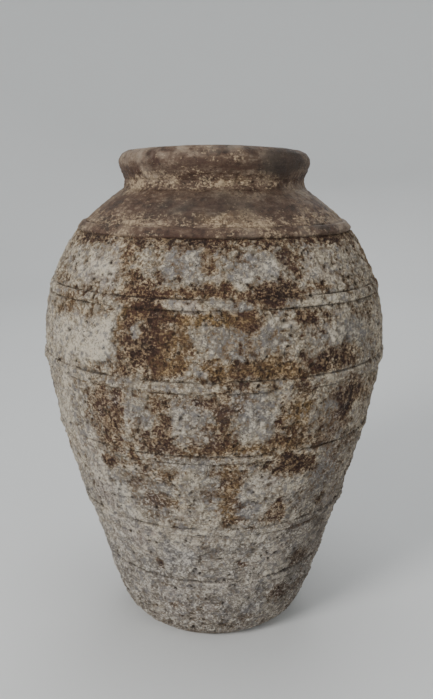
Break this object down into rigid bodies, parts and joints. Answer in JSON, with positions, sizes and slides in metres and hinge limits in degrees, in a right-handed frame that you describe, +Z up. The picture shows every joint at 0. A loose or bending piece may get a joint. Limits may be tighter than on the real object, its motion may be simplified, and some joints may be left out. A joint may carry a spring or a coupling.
{
  "type": "terracotta storage jar",
  "caption": "Tall handleless ovoid terracotta jar with a short neck, thick rolled lip and flat clay bands round an aged, lime-crusted body.",
  "frame": {"origin": "centre of the underside, on the jar's axis", "axes": "+Z up the jar's axis towards the mouth; X and Y are level, and the jar is round, so -Y is simply taken as the front"},
  "size_m": [0.3264, 0.3264, 0.46],
  "materials": {
    "crusted_clay": "dry lime crust over rust-brown clay",
    "bare_clay": "bare unglazed clay",
    "smoked_clay": "smoked brown unglazed clay",
    "cordon_clay": "worn clay band"
  },
  "bodies": {
    "root": {"floor_slab": "crusted_clay", "floor_coil": "bare_clay", "foot_ring": "crusted_clay", "lower_ring": "crusted_clay", "lower_body_ring": "crusted_clay", "middle_body_ring": "crusted_clay", "belly_ring": "crusted_clay", "upper_body_ring": "crusted_clay", "shoulder_ring": "crusted_clay", "neck_collar": "smoked_clay", "rolled_lip": "smoked_clay", "foot_cordon": "cordon_clay", "lower_cordon": "cordon_clay", "waist_cordon": "cordon_clay", "belly_cordon": "cordon_clay", "upper_cordon": "cordon_clay", "shoulder_cordon": "cordon_clay"}
  },
  "joints": []
}
